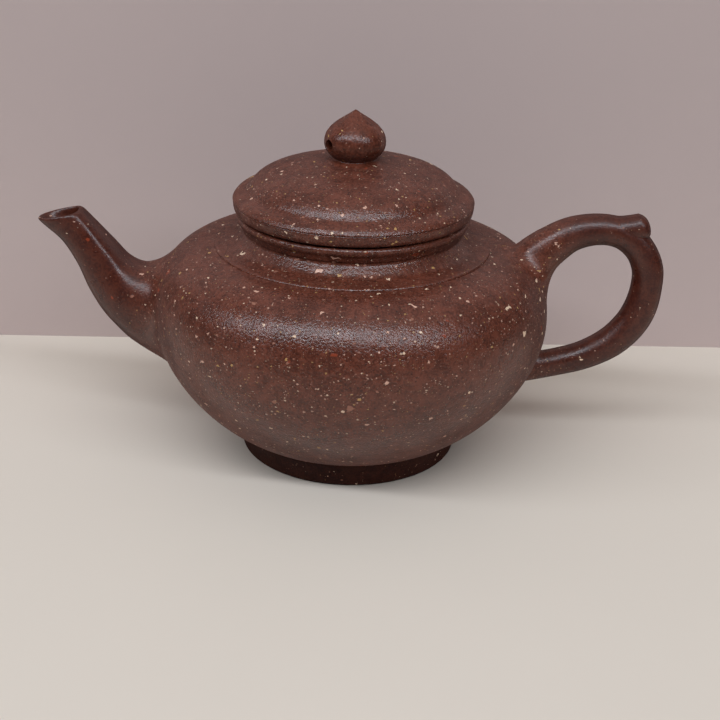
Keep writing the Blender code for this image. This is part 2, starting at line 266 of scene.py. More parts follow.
class Limb:
    """A tube along a bend in the XZ plane, with a section that may change along it."""

    def __init__(self, path, sections):
        """path: rows of (x, z, half width, half depth). sections: a closed (width, depth) loop for each."""
        centre = np.column_stack([path[:, 0], np.zeros(len(path)), path[:, 1]])
        ahead = np.gradient(centre, axis=0)
        ahead /= np.linalg.norm(ahead, axis=1)[:, None]
        across = np.column_stack([-ahead[:, 2], np.zeros(len(path)), ahead[:, 0]])
        depth = (sections[:, :, 1] * path[:, 3:4])[:, :, None]
        width = (sections[:, :, 0] * path[:, 2:3])[:, :, None]
        self.grid = centre[:, None, :] + across[:, None, :] * depth + np.array([0.0, 1.0, 0.0]) * width

    @classmethod
    def from_grid(cls, grid):
        made = cls.__new__(cls)
        made.grid = grid
        return made

    def at(self, places):
        """The point on each line at its own place along the path."""
        places = np.clip(places, 0, len(self.grid) - 1.001)
        low = places.astype(int)
        share = (places - low)[:, None]
        lines = np.arange(self.grid.shape[1])
        return self.grid[low, lines] * (1 - share) + self.grid[low + 1, lines] * share

    def reaches(self, heights, value, backwards=False):
        """Where each line first rises past a value, counted from its start or from its end."""
        table = heights[::-1] if backwards else heights
        first = np.maximum((table > value).argmax(0), 1)
        lines = np.arange(table.shape[1])
        before = table[first - 1, lines]
        after = table[first, lines]
        place = first - 1 + (value - before) / np.where(abs(after - before) < 1e-12, 1e-12, after - before)
        return len(table) - 1 - place if backwards else place


def heights_of(limb, outline):
    rows, lines = limb.grid.shape[:2]
    flat = limb.grid.reshape(-1, 3)
    heights = np.concatenate([over_skin(part, outline)[0] for part in np.array_split(flat, 24)])
    return heights.reshape(rows, lines)


def root_rings(limb, heights, outline, flare, backwards=False, steps=12):
    """Rings that sweep from under the skin, along it and up into the limb. flare is each line's sweep."""
    foot = limb.at(limb.reaches(heights, 0.0, backwards))
    up = over_skin(foot, outline)[1]
    away = foot - foot.mean(0)
    away -= up * (away * up).sum(1)[:, None]
    away /= np.linalg.norm(away, axis=1)[:, None]
    rings = []
    for t in np.linspace(1, 0, steps):
        height = flare * (1 - t) ** 2
        table = heights - height[None, :]
        points = limb.at(limb.reaches(table, 0.0, backwards)) + away * (flare * t ** 2)[:, None]
        for _ in range(3):
            over, up = over_skin(points, outline)
            points = points + up * (height - over)[:, None]
        rings.append(points)
    up = over_skin(rings[0], outline)[1]
    hidden = rings[0] + away * 0.3 * MM - up * 0.5 * MM
    return [hidden] + rings


def lines_between(limb, start, end, count):
    """Rings from one place on each line to another, both left out."""
    return [limb.at(start + (end - start) * share) for share in np.linspace(0, 1, count + 2)[1:-1]]


def closed_loop(points, count):
    """A smooth closed section through the given half, mirrored, as evenly numbered points."""
    half = list(points)
    mirrored = [(-w, d) for w, d in reversed(half[1:-1])]
    ring = np.array(half + mirrored, float)
    padded = np.vstack([ring[-3:], ring, ring[:3]])
    start = 24 * 3
    dense = spline(padded, 24)[start:start + 24 * len(ring)]
    wrapped = np.vstack([dense, dense[:1]])
    length = np.concatenate([[0], np.cumsum(np.linalg.norm(np.diff(wrapped, axis=0), axis=1))])
    wanted = np.linspace(0, length[-1], count, endpoint=False)
    return np.column_stack([np.interp(wanted, length, wrapped[:, k]) for k in range(2)])


# Shader groups

class Nodes:
    """Short ways to lay out a node tree. An input is its socket's name, or its number as i0 or i1."""

    def __init__(self, tree):
        self.tree = tree
        self.count = 0

    def add(self, kind, settings=None, **inputs):
        node = self.tree.nodes.new(kind)
        node.location = (self.count % 9 * 190, -(self.count // 9) * 260)
        self.count += 1
        for key, value in (settings or {}).items():
            setattr(node, key, value)
        for key, value in inputs.items():
            numbered = key[0] == "i" and key[1:].isdigit()
            self.feed(node.inputs[int(key[1:]) if numbered else key.replace("_", " ")], value)
        return node

    def feed(self, socket, value):
        """Links a socket's source to it, or sets its value."""
        if isinstance(value, bpy.types.NodeSocket):
            self.tree.links.new(value, socket)
        else:
            socket.default_value = value

    def math(self, operation, first, second=0.0, clamp=False):
        settings = {"operation": operation, "use_clamp": clamp}
        return self.add("ShaderNodeMath", settings, i0=first, i1=second).outputs[0]

    def between(self, value, low, high):
        """0 below low, 1 above high, smooth in between."""
        node = self.add("ShaderNodeMapRange", {"interpolation_type": "SMOOTHSTEP"}, i0=value, i1=low, i2=high)
        return node.outputs[0]

    def mix(self, share, first, second):
        return self.add("ShaderNodeMix", {"data_type": "RGBA"}, i0=share, i6=first, i7=second).outputs[2]

    def off_axis(self, place):
        """The distance from the pot's axis."""
        axes = self.add("ShaderNodeSeparateXYZ", None, i0=place)
        squares = [self.math("MULTIPLY", axis, axis) for axis in axes.outputs[:2]]
        return self.math("SQRT", self.math("ADD", *squares))


def new_group(name, inputs, outputs):
    """A shader node group with named sockets; inputs are (name, kind, default)."""
    group = bpy.data.node_groups.new(name, "ShaderNodeTree")
    for socket_name, kind, default in inputs:
        socket = group.interface.new_socket(name=socket_name, in_out="INPUT", socket_type="NodeSocket" + kind)
        if default is not None:
            socket.default_value = default
    for socket_name, kind in outputs:
        group.interface.new_socket(name=socket_name, in_out="OUTPUT", socket_type="NodeSocket" + kind)
    nodes = Nodes(group)
    entry = nodes.add("NodeGroupInput")
    exit_node = nodes.add("NodeGroupOutput")
    return group, nodes, entry, exit_node


def grain_group():
    """Flecks of crushed stone: one mask and one random tone for each fleck."""
    group, nodes, entry, exit_node = new_group(
        "Clay Grains",
        [("Vector", "Vector", None), ("Cell Scale", "Float", 300.0), ("Share", "Float", 0.4),
         ("Size", "Float", 0.16), ("Raggedness", "Float", 0.12), ("Offset", "Float", 0.0)],
        [("Mask", "Float"), ("Tone", "Float")])
    shifted = nodes.add("ShaderNodeVectorMath", {"operation": "ADD"}, i0=entry.outputs["Vector"],
                        i1=entry.outputs["Offset"])
    flattened = nodes.add("ShaderNodeVectorMath", {"operation": "MULTIPLY"}, i0=shifted.outputs[0],
                          i1=(1.0, 1.0, 1.35))
    scaled = nodes.add("ShaderNodeVectorMath", {"operation": "SCALE"}, i0=flattened.outputs[0],
                       Scale=entry.outputs["Cell Scale"])
    ragged = nodes.add("ShaderNodeTexNoise", {"noise_dimensions": "3D"}, Vector=scaled.outputs[0], Scale=2.6,
                       Detail=1.0)
    centred = nodes.add("ShaderNodeVectorMath", {"operation": "SUBTRACT"}, i0=ragged.outputs["Color"],
                        i1=(0.5, 0.5, 0.5))
    pushed = nodes.add("ShaderNodeVectorMath", {"operation": "SCALE"}, i0=centred.outputs[0],
                       Scale=entry.outputs["Raggedness"])
    bent = nodes.add("ShaderNodeVectorMath", {"operation": "ADD"}, i0=scaled.outputs[0], i1=pushed.outputs[0])
    cells = nodes.add("ShaderNodeTexVoronoi", {"voronoi_dimensions": "3D", "distance": "MINKOWSKI"},
                      Vector=bent.outputs[0], Scale=1.0, Exponent=1.3)
    drawn = nodes.add("ShaderNodeSeparateColor", None, i0=cells.outputs["Color"])
    chosen = nodes.math("LESS_THAN", drawn.outputs[0], entry.outputs["Share"])
    reach = nodes.math("MULTIPLY", nodes.math("ADD", nodes.math("POWER", drawn.outputs[1], 1.6), 0.35),
                       entry.outputs["Size"])
    edge = nodes.math("MULTIPLY", reach, 0.78)
    solid = nodes.add("ShaderNodeMapRange", {"interpolation_type": "SMOOTHSTEP"},
                      i0=cells.outputs["Distance"], i1=reach, i2=edge, i3=0.0, i4=1.0)
    mask = nodes.math("MULTIPLY", solid.outputs[0], chosen, clamp=True)
    nodes.tree.links.new(mask, exit_node.inputs["Mask"])
    nodes.tree.links.new(drawn.outputs[2], exit_node.inputs["Tone"])
    return group


def clay_ground_group():
    """The clay between the flecks: mottling, faint turning lines, fine tooth and the burnish's wear."""
    group, nodes, entry, exit_node = new_group(
        "Clay Ground",
        [("Vector", "Vector", None), ("Deep", "Color", (0.05, 0.02, 0.012, 1)),
         ("Warm", "Color", (0.1, 0.04, 0.02, 1)), ("Turning", "Float", 1.0)],
        [("Color", "Color"), ("Tooth", "Float"), ("Sheen Wear", "Float")])
    place = entry.outputs["Vector"]
    clouds = nodes.add("ShaderNodeTexNoise", None, Vector=place, Scale=55.0, Detail=3.0, Roughness=0.55)
    blotch = nodes.add("ShaderNodeTexNoise", None, Vector=place, Scale=420.0, Detail=3.0, Roughness=0.6)
    powder = nodes.add("ShaderNodeTexNoise", None, Vector=place, Scale=1900.0, Detail=2.0, Roughness=0.6)
    whole = nodes.math("ADD", nodes.math("MULTIPLY", clouds.outputs[0], 0.2),
                       nodes.math("ADD", nodes.math("MULTIPLY", blotch.outputs[0], 0.35),
                                  nodes.math("MULTIPLY", powder.outputs[0], 0.45)))
    share = nodes.between(whole, 0.40, 0.60)
    colour = nodes.mix(share, entry.outputs["Deep"], entry.outputs["Warm"])
    squashed = nodes.add("ShaderNodeMapping", None, Vector=place, Scale=(25.0, 25.0, 900.0))
    lines = nodes.add("ShaderNodeTexNoise", None, Vector=squashed.outputs[0], Scale=1.0, Detail=2.0)
    tooth = nodes.math("ADD", nodes.math("MULTIPLY", powder.outputs[0], 0.55),
                       nodes.math("ADD", nodes.math("MULTIPLY", blotch.outputs[0], 0.45),
                                  nodes.math("MULTIPLY", nodes.math("MULTIPLY", lines.outputs[0], 0.35),
                                             entry.outputs["Turning"])))
    worn = nodes.add("ShaderNodeTexNoise", None, Vector=place, Scale=130.0, Detail=2.0)
    links = nodes.tree.links
    links.new(colour, exit_node.inputs["Color"])
    links.new(tooth, exit_node.inputs["Tooth"])
    links.new(worn.outputs[0], exit_node.inputs["Sheen Wear"])
    return group


# (cell size, share of cells, size in the cell, raggedness, offset, strength), finest first
FLECK_LAYERS = ((0.60 * MM, 0.55, 0.30, 0.35, 0.11, 0.36), (1.0 * MM, 0.50, 0.30, 0.45, 0.23, 0.66),
                (1.8 * MM, 0.40, 0.27, 0.60, 0.37, 0.92), (4.4 * MM, 0.30, 0.21, 0.70, 0.51, 1.0))
RUST_CELL = 6.0 * MM
DARK_CELL = 0.8 * MM
TOOTH_DEPTH = 0.3 * MM


def clay_material(name, groups, look, clay):
    """One fired clay. look holds how many flecks it has and how far it was burnished."""
    material = bpy.data.materials.new(name)
    material.use_nodes = True
    nodes = Nodes(material.node_tree)
    shader = material.node_tree.nodes["Principled BSDF"]
    shader.location = (1900, 0)
    place = nodes.add("ShaderNodeTexCoord").outputs["Object"]

    def group_node(group, **inputs):
        node = nodes.add("ShaderNodeGroup", {"node_tree": group})
        nodes.tree.links.new(place, node.inputs["Vector"])
        for key, value in inputs.items():
            nodes.feed(node.inputs[key.replace("_", " ")], value)
        return node

    crowd = look["flecks"]
    deep, warm = (*look["deep"], 1), (*look["warm"], 1)
    # Away from the belly the flecks thin out and the tones move to the darker fine ones, whose darkness is
    # partly painted shade on the spout and handle.
    if look["fade"]:
        drawn_out_and_shaded = nodes.between(nodes.off_axis(place), BELLY_RADIUS - 3.0 * MM, BELLY_RADIUS + 9.0 * MM)
        crowd = nodes.math("SUBTRACT", 1.0, nodes.math("MULTIPLY", drawn_out_and_shaded, 1 - look["flecks"]))
        deep = nodes.mix(drawn_out_and_shaded, (*clay.body_deep, 1), deep)
        warm = nodes.mix(drawn_out_and_shaded, (*clay.body_warm, 1), warm)

    ground = group_node(groups["ground"], Deep=deep, Warm=warm, Turning=look["turning"])
    colour = ground.outputs["Color"]
    rust = group_node(groups["grain"], Cell_Scale=1 / RUST_CELL, Share=0.42 * look["rust"], Size=0.17,
                      Raggedness=0.45, Offset=0.31)
    colour = nodes.mix(nodes.math("MULTIPLY", rust.outputs["Mask"], 0.65), colour, (*clay.rust_colour, 1))
    dark = group_node(groups["grain"], Cell_Scale=1 / DARK_CELL, Share=0.50 * look["dark"], Size=0.36,
                      Raggedness=0.35, Offset=0.57)
    shown = nodes.math("MULTIPLY", dark.outputs["Mask"], 0.6)
    colour = nodes.mix(shown, colour, (*clay.dark_grain_colour, 1))

    raised = 0.0
    for cell, share, size, raggedness, offset, strength in FLECK_LAYERS:
        chosen = nodes.math("MULTIPLY", crowd, share) if look["fade"] else share * crowd
        fleck = group_node(groups["grain"], Cell_Scale=1 / cell, Size=size, Raggedness=raggedness,
                           Offset=offset, Share=chosen)
        tone = nodes.add("ShaderNodeValToRGB", None, i0=fleck.outputs["Tone"])
        ramp = tone.color_ramp
        ramp.interpolation = "CONSTANT"
        stops = ((0.0, clay.cream), (0.26, clay.pink), (0.52, clay.ochre), (0.70, clay.dull_grain))
        while len(ramp.elements) < len(stops):
            ramp.elements.new(0.5)
        for element, (position, value) in zip(ramp.elements, stops):
            element.position = position
            element.color = (*value, 1)
        shown = nodes.math("MULTIPLY", fleck.outputs["Mask"], strength)
        colour = nodes.mix(shown, colour, tone.outputs["Color"])
        raised = nodes.math("ADD", raised, fleck.outputs["Mask"])
    nodes.tree.links.new(colour, shader.inputs["Base Color"])

    rough = nodes.add("ShaderNodeMapRange", None, i0=ground.outputs["Sheen Wear"], i1=0.3, i2=0.7,
                      i3=look["roughness"] - 0.06, i4=look["roughness"] + 0.08)
    rough = nodes.math("ADD", rough.outputs[0], nodes.math("MULTIPLY", raised, 0.06))
    # the gloss falls off where the surface is seen at a glancing angle
    facing = nodes.add("ShaderNodeLayerWeight", None, Blend=0.5).outputs["Facing"]
    edge_on = nodes.math("MULTIPLY", nodes.between(facing, 0.42, 0.82), 0.45)
    rough = nodes.math("ADD", rough, edge_on, clamp=True)
    nodes.tree.links.new(rough, shader.inputs["Roughness"])
    height = nodes.math("ADD", ground.outputs["Tooth"], nodes.math("MULTIPLY", raised, 0.25))
    bump = nodes.add("ShaderNodeBump", None, Strength=look["tooth"], Distance=TOOTH_DEPTH, Height=height)
    nodes.tree.links.new(bump.outputs[0], shader.inputs["Normal"])
    shader.inputs["Metallic"].default_value = 0.0
    shader.inputs["IOR"].default_value = 1.5
    shader.inputs["Specular IOR Level"].default_value = look["specular"]
    return material


def plain_material(name, colour, roughness, mottle):
    """A plain surface with a painted pool of light: pale round the pot and painted darker far from it. It's
    seen from its front only.
    """
    material = bpy.data.materials.new(name)
    material.use_nodes = True
    nodes = Nodes(material.node_tree)
    shader = material.node_tree.nodes["Principled BSDF"]
    shader.location = (1500, 0)
    place = nodes.add("ShaderNodeTexCoord").outputs["Object"]
    cloud = nodes.add("ShaderNodeTexNoise", None, Vector=place, Scale=14.0, Detail=3.0)
    darker = tuple(value * (1 - mottle) for value in colour)
    mixed = nodes.mix(cloud.outputs[0], (*darker, 1), (*colour, 1))
    # Painted pool of light: the surface turns darker beyond the pale pool round the pot, which also dims what
    # the pot reflects.
    far = nodes.between(nodes.off_axis(place), LIT_POOL_REACH, LIT_POOL_REACH + LIT_POOL_FADE)
    mixed = nodes.mix(far, mixed, (*(value * FAR_SHADE_TONE for value in colour), 1))
    nodes.tree.links.new(mixed, shader.inputs["Base Color"])
    shader.inputs["Roughness"].default_value = roughness
    shader.inputs["Specular IOR Level"].default_value = 0.2
    behind = nodes.add("ShaderNodeNewGeometry").outputs["Backfacing"]
    clear = nodes.add("ShaderNodeBsdfTransparent").outputs[0]
    shown = nodes.add("ShaderNodeMixShader", None, i0=behind, i1=shader.outputs[0], i2=clear)
    shown.location = (1900, 0)
    nodes.tree.links.new(shown.outputs[0], material.node_tree.nodes["Material Output"].inputs["Surface"])
    return material


# The shade factor darkens the clay's tones with painted shade (on the foot, for the floor's shadow it sits
# in), turning is how deep its turning lines are, and flecks, rust and dark are how many grains it has. fade
# thins the flecks and moves to the finer clay's darker tones away from the belly, partly painted shade.
LOOKS = {
    "speckled": {"shade": 1.0, "turning": 0.5, "flecks": 1.0, "fade": False, "rust": 1.0, "dark": 1.0,
                 "roughness": 0.24, "tooth": 0.9, "specular": 0.5},
    "knob": {"shade": 1.0, "turning": 0.5, "flecks": 0.4, "fade": False, "rust": 0.5, "dark": 0.6,
             "roughness": 0.26, "tooth": 0.5, "specular": 0.36},
    # The spout and handle: their darker fine tones are partly painted shade.
    "drawn": {"shade": 1.0, "turning": 0.0, "flecks": 0.12, "fade": True, "rust": 0.4, "dark": 0.6,
              "roughness": 0.30, "tooth": 0.45, "specular": 0.45},
    # The foot's tones are darkened with painted shade, for the floor's shadow that it sits in.
    "trimmed_shaded": {"shade": 0.55, "turning": 0.6, "flecks": 0.3, "fade": False, "rust": 0.3, "dark": 0.5,
                "roughness": 0.45, "tooth": 0.5, "specular": 0.10},
    "unburnished": {"shade": 1.0, "turning": 1.0, "flecks": 0.8, "fade": False, "rust": 0.6, "dark": 1.0,
                    "roughness": 0.66, "tooth": 1.0, "specular": 0.35},
}
FINE_SHADED_LOOKS = {"drawn", "trimmed_shaded"}


def clay(name):
    """The named clay finish, made once."""
    found = bpy.data.materials.get(name + " clay")
    if found:
        return found
    settings = bpy.context.scene.teapot_clay
    groups = {"grain": bpy.data.node_groups.get("Clay Grains") or grain_group(),
              "ground": bpy.data.node_groups.get("Clay Ground") or clay_ground_group()}
    look = dict(LOOKS[name])
    fine = name in FINE_SHADED_LOOKS
    for tone, chosen in (("deep", settings.fine_shaded_deep if fine else settings.body_deep),
                         ("warm", settings.fine_shaded_warm if fine else settings.body_warm)):
        # Painted shade: the look's shade factor darkens its tones.
        look[tone] = tuple(value * look["shade"] for value in chosen)
    return clay_material(name + " clay", groups, look, settings)


# Settings

def colour_property(name, description, default):
    return bpy.props.FloatVectorProperty(name=name, description=description, default=default, subtype="COLOR",
                                         size=3, min=0.0, max=1.0)


def length_property(name, description, default):
    return bpy.props.FloatProperty(name=name, description=description, default=default, unit="LENGTH",
                                   precision=5, min=0.0)


class TeapotShape(bpy.types.PropertyGroup):
    wall: length_property("Wall", "Thickness of the belly's wall", 2.8 * MM)
    lip: length_property("Spout lip", "Thickness of clay at the spout's mouth", 1.05 * MM)
    spout_flare: length_property("Spout flare", "How far the spout's root sweeps out", 6.0 * MM)
    handle_flare: length_property("Handle flare", "How far the handle's upper root sweeps out", 4.2 * MM)
    lower_flare: length_property("Lower flare", "How far the handle's lower root sweeps out", 2.0 * MM)
    vent: length_property("Air hole", "Radius of the air hole in the knob's side", 1.35 * MM)
    vent_direction: bpy.props.FloatProperty(
        name="Air hole direction", description="Where the air hole faces, round Z", default=math.radians(213),
        subtype="ANGLE")


class TeapotClay(bpy.types.PropertyGroup):
    body_deep: colour_property("Body, deep", "Darker tone of the speckled clay", (0.064, 0.0155, 0.0080))
    body_warm: colour_property("Body, warm", "Lighter tone of the speckled clay", (0.136, 0.0375, 0.0210))
    # The fine tones are darker partly for the finer clay and partly as painted shade on the spout, the handle
    # and the foot.
    fine_shaded_deep: colour_property("Trim, deep", "Darker tone of the spout and handle", (0.042, 0.0085, 0.005))
    fine_shaded_warm: colour_property("Trim, warm", "Lighter tone of the spout and handle", (0.080, 0.019, 0.010))
    cream: colour_property("Cream grain", "Brightest flecks", (0.74, 0.52, 0.36))
    pink: colour_property("Pink grain", "Pinkish flecks", (0.62, 0.36, 0.26))
    ochre: colour_property("Ochre grain", "Yellow-brown flecks", (0.45, 0.25, 0.09))
    dull_grain: colour_property("Dull grain", "Flecks close to the clay's own tone", (0.27, 0.11, 0.07))
    rust_colour: colour_property("Rust patch", "Soft orange-red patches", (0.30, 0.050, 0.018))
    dark_grain_colour: colour_property("Dark grain", "Iron specks", (0.016, 0.007, 0.006))


class TeapotStage(bpy.types.PropertyGroup):
    floor_colour: colour_property("Floor", "Colour of the pale floor", (0.70, 0.62, 0.53))
    wall_colour: colour_property("Wall", "Colour of the wall behind", (0.505, 0.40, 0.37))
    wall_distance: length_property("Wall distance", "How far behind the pot's axis the wall is", 63.0 * MM)
    strip_power: bpy.props.FloatProperty(name="Strip light", description="Power of the long overhead strip",
                                         default=38.0, unit="POWER")
    ceiling_power: bpy.props.FloatProperty(name="Ceiling light", description="Power of the broad light above",
                                           default=9.0, unit="POWER")


# Pieces of the pot

class TEAPOT_OT_body(bpy.types.Operator):
    """Belly wall, shoulder disc, base and foot ring"""
    bl_idname = "teapot.body"
    bl_label = "Body"

    def execute(self, context):
        shape = context.scene.teapot_shape
        outer = belly_skin()
        inner = inward(outer, shape.wall)
        inner = inner[(inner[:, 0] > BASE_RADIUS + 0.8 * MM) & (inner[:, 1] < STEP_HEIGHT - shape.wall * 0.9)]
        floor_in = [(BASE_RADIUS + 0.02 * MM, BELLY_FLOOR), (BASE_RADIUS + 0.02 * MM, BELLY_FLOOR + 2.8 * MM)]
        top_in = [(STEP_RADIUS, inner[0][1])]
        wall = turn("belly_wall", list(outer) + floor_in + list(inner[::-1]) + top_in)
        cut(wall, channel_cutter(shape))
        wall.data.shade_smooth()
        wall.data.set_sharp_from_angle(angle=math.radians(38))
        seat(wall, "pot", ["belly_upper", "belly_lower"], clay("speckled"))

        bore = FLANGE_RADIUS + 0.9 * MM
        edge = spline(beside(STEP_RADIUS, DISC_TOP, [(-1.6, 0), (-0.8, -0.02), (-0.25, -0.14), (-0.02, -0.4)])
                      + [(STEP_RADIUS, STEP_HEIGHT - 0.05 * MM)], 5)
        disc = [(bore, DISC_TOP)] + list(edge) + [(STEP_RADIUS - 0.01 * MM, STEP_HEIGHT - shape.wall),
                                                  (bore, STEP_HEIGHT - shape.wall + 0.8 * MM)]
        seat(turn("shoulder_disc_top", disc), "pot", ["shoulder_disc"], clay("speckled"))

        base = [(0.0, BELLY_FLOOR + shape.wall), (BASE_RADIUS, BELLY_FLOOR + shape.wall),
                (BASE_RADIUS, BELLY_FLOOR), (0.0, BELLY_FLOOR)]
        seat(turn("base_plate", base, 96), "pot", ["base_disc"], clay("unburnished"))

        radius = FOOT_TOP_RADIUS
        outside = spline([(radius - 0.02 * MM, BELLY_FLOOR), (radius - 0.12 * MM, FOOT_TOP - 0.9 * MM)]
                         + beside(radius, 0, [(-0.42, 2.8), (-0.68, 1.3), (-0.85, 0.55), (-1.25, 0.12),
                                              (-1.8, 0)]), 6)
        inside = spline(beside(radius, 0, [(-4.0, 0), (-4.5, 0.2), (-4.75, 0.8), (-5.0, 3.0), (-5.5, 4.9)])
                        + [(radius - 6.3 * MM, BELLY_FLOOR)], 5)
        foot = turn("foot_band", list(outside) + list(inside))
        # The foot's clay carries painted shade.
        seat(foot, "pot", ["foot_ring"], clay("trimmed_shaded"))
        return {"FINISHED"}


class TEAPOT_OT_mouth(bpy.types.Operator):
    """Cove of the neck and the bead round the mouth"""
    bl_idname = "teapot.mouth"
    bl_label = "Neck and mouth"

    def execute(self, context):
        bore = FLANGE_RADIUS + 0.5 * MM
        low = NECK_TOP + 0.15 * MM
        cove = spline([(27.05 * MM, low)]
                      + in_mm([(26.7, 57.0), (26.7, 56.5), (27.05, 56.0), (27.6, 55.4), (28.15, 54.8),
                               (28.8, 54.3), (29.7, 53.92), (30.9, 53.7)])
                      + [(32.6 * MM, DISC_TOP)], 6)
        neck = [(bore, low)] + list(cove) + [(bore, DISC_TOP)]
        seat(turn("neck_cove", neck), "pot", ["neck_ring"], clay("speckled"))

        bead = spline(beside(MOUTH_RADIUS, MOUTH_TOP, [(-1.5, 0), (-0.7, -0.12), (-0.15, -0.5), (0, -1.05),
                                                       (-0.22, -1.7), (-0.75, -2.4)])
                      + [(27.05 * MM, low)], 6)
        inner = spline([(bore, low), (bore, MOUTH_TOP - 0.5 * MM), (bore + 0.12 * MM, MOUTH_TOP - 0.15 * MM),
                        (bore + 0.45 * MM, MOUTH_TOP)], 5)
        ring = turn("mouth_bead", list(bead) + list(inner))
        seat(ring, "pot", ["mouth_ring"], clay("speckled"))
        return {"FINISHED"}


# Spout: (x, z, half width, half depth) along its bend, root first

SPOUT_BEND = in_mm([
    (-36.5, 31.6, 11.2, 12.4), (-41.5, 32.8, 11.0, 12.3), (-46.3, 34.5, 10.4, 11.7), (-51.1, 36.5, 9.4, 10.3),
    (-55.7, 39.2, 8.3, 8.1), (-59.4, 43.0, 7.1, 6.35), (-62.9, 48.6, 5.9, 5.15), (-67.4, 54.7, 4.7, 4.5),
    (-72.5, 59.8, 3.95, 4.8), (-76.8, 64.7, 3.9, 4.9),
])
SPOUT_TIP_SECTION = [(0.0, 1.0), (0.38, 0.95), (0.70, 0.72), (0.92, 0.30), (0.98, -0.15), (0.95, -0.52),
                     (0.84, -0.76), (0.64, -0.90), (0.34, -0.97), (0.0, -0.99)]
SPOUT_ROOT_SECTION = [(0.0, 1.0), (0.40, 0.92), (0.74, 0.68), (0.95, 0.32), (1.0, -0.05), (0.93, -0.40),
                      (0.76, -0.67), (0.52, -0.86), (0.26, -0.965), (0.0, -1.0)]
SPOUT_LINES = 84
SPOUT_ROWS = 40
SPOUT_ROOT_WALL = 3.2 * MM
MOUTH_EDGE = ((SPOUT_REACH, 57.3 * MM), (-67.5 * MM, 59.3 * MM))


def spout_limb(taken=(0.0, 0.0)):
    """The spout's tube; taken is a wall to leave off, at its root and its tip."""
    path = spline(SPOUT_BEND, SPOUT_ROWS)
    share = np.linspace(0, 1, len(path))
    wall = taken[0] + (taken[1] - taken[0]) * np.clip(share / 0.85, 0, 1)
    path[:, 2] -= wall
    path[:, 3] -= wall
    root = closed_loop(SPOUT_ROOT_SECTION, SPOUT_LINES)
    tip = closed_loop(SPOUT_TIP_SECTION, SPOUT_LINES)
    blend = np.clip((share - 0.2) / 0.45, 0, 1)[:, None, None]
    blend = blend * blend * (3 - 2 * blend)
    return Limb(path, root * (1 - blend) + tip * blend)


def channel_cutter(shape):
    """The tea's way out, through the belly's wall."""
    limb = spout_limb((SPOUT_ROOT_WALL - 0.02 * MM, shape.lip))
    rows = [limb.grid[i] for i in range(0, 7 * SPOUT_ROWS // 2, 10)]
    inmost = rows[0] + np.array([7.0 * MM, 0.0, -1.5 * MM])
    rings = [[inmost.mean(0)], inmost] + rows + [[rows[-1].mean(0)]]
    return rings_to_mesh("channel_cut", rings)


class TEAPOT_OT_spout(bpy.types.Operator):
    """Spout with its flared root, open channel and rounded lip, and the strainer behind it"""
    bl_idname = "teapot.spout"
    bl_label = "Spout"

    def execute(self, context):
        shape = context.scene.teapot_shape
        outline = belly_skin()
        outer = spout_limb()
        channel = spout_limb((SPOUT_ROOT_WALL, shape.lip))
        loop = closed_loop(SPOUT_ROOT_SECTION, SPOUT_LINES)
        above = np.clip(-loop[:, 1], 0, 1)
        below = np.clip(loop[:, 1], 0, 1)
        flare = shape.spout_flare * (1 - 0.17 * above ** 2 - 0.35 * below)
        heights = heights_of(outer, outline)
        rings = root_rings(outer, heights, outline, flare, steps=16)

        (tip_x, tip_z), (back_x, back_z) = MOUTH_EDGE
        upward = Vector((tip_z - back_z, 0.0, back_x - tip_x)).normalized()
        plane = np.array(upward)
        edge_point = np.array([tip_x, 0.0, tip_z])

        def mouth_place(limb, depth):
            return limb.reaches((limb.grid - edge_point) @ plane, -depth)

        def lip_ring(share, depth):
            between = Limb.from_grid(outer.grid * (1 - share) + channel.grid * share)
            return between.at(mouth_place(between, depth))

        leaves = outer.reaches(heights - flare[None, :], 0.0)
        rings += lines_between(outer, leaves, mouth_place(outer, 1.1 * MM), 44)
        lip = ((0.0, 1.1), (0.0, 0.75), (0.05, 0.42), (0.14, 0.19), (0.27, 0.05), (0.42, 0.0), (0.56, 0.02),
               (0.70, 0.12), (0.82, 0.30), (0.92, 0.58), (0.98, 0.95), (1.0, 1.4))
        rings += [lip_ring(share, depth * MM) for share, depth in lip]
        inner_heights = heights_of(channel, outline)
        root_place = channel.reaches(inner_heights, -1.5 * MM)
        rings += lines_between(channel, mouth_place(channel, 1.4 * MM), root_place, 26)
        rings.append(channel.at(root_place))
        spout = rings_to_mesh("spout_horn", rings, closed=True, crease=50)
        seat(spout, "pot", ["spout"], clay("drawn"))

        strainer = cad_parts["strainer"]
        strainer.data.materials.clear()
        strainer.data.materials.append(clay("unburnished"))
        return {"FINISHED"}


# Handle: (x, z, radius) from the upper root round to the lower one, and the thumb rest's own line

HANDLE_BEND = in_mm([
    (38.0, 36.5, 5.9), (39.5, 41.0, 5.9), (41.3, 45.3, 5.9), (44.3, 49.6, 5.6), (48.3, 53.4, 4.9),
    (53.5, 56.75, 4.2), (60.0, 58.05, 3.8), (65.6, 57.0, 3.75), (70.05, 53.4, 3.7), (72.5, 48.5, 3.8),
    (72.75, 43.4, 3.85), (71.8, 37.9, 4.05), (69.4, 33.0, 4.05), (65.1, 28.4, 3.9), (58.8, 24.8, 3.6),
    (51.6, 22.6, 3.45), (44.4, 21.1, 3.6), (39.3, 20.2, 3.75), (34.3, 19.3, 3.8), (29.8, 18.5, 3.8),
])
THUMB_REST = in_mm([
    (54.0, 57.2, 3.75), (57.5, 57.85, 3.8), (61.0, 57.95, 3.7), (65.0, 57.95, 3.5), (68.0, 58.45, 3.4),
    (69.9, 58.95, 3.3),
])
HANDLE_LINES = 60
THUMB_LINES = 48
THUMB_SEAM = (66.8 * MM, 0.0, 55.6 * MM)
THUMB_END = ((0.975, 0.3), (0.92, 0.75), (0.84, 1.2), (0.72, 1.6), (0.57, 1.9), (0.38, 2.1), (0.18, 2.2))
THUMB_POLE = 2.22 * MM
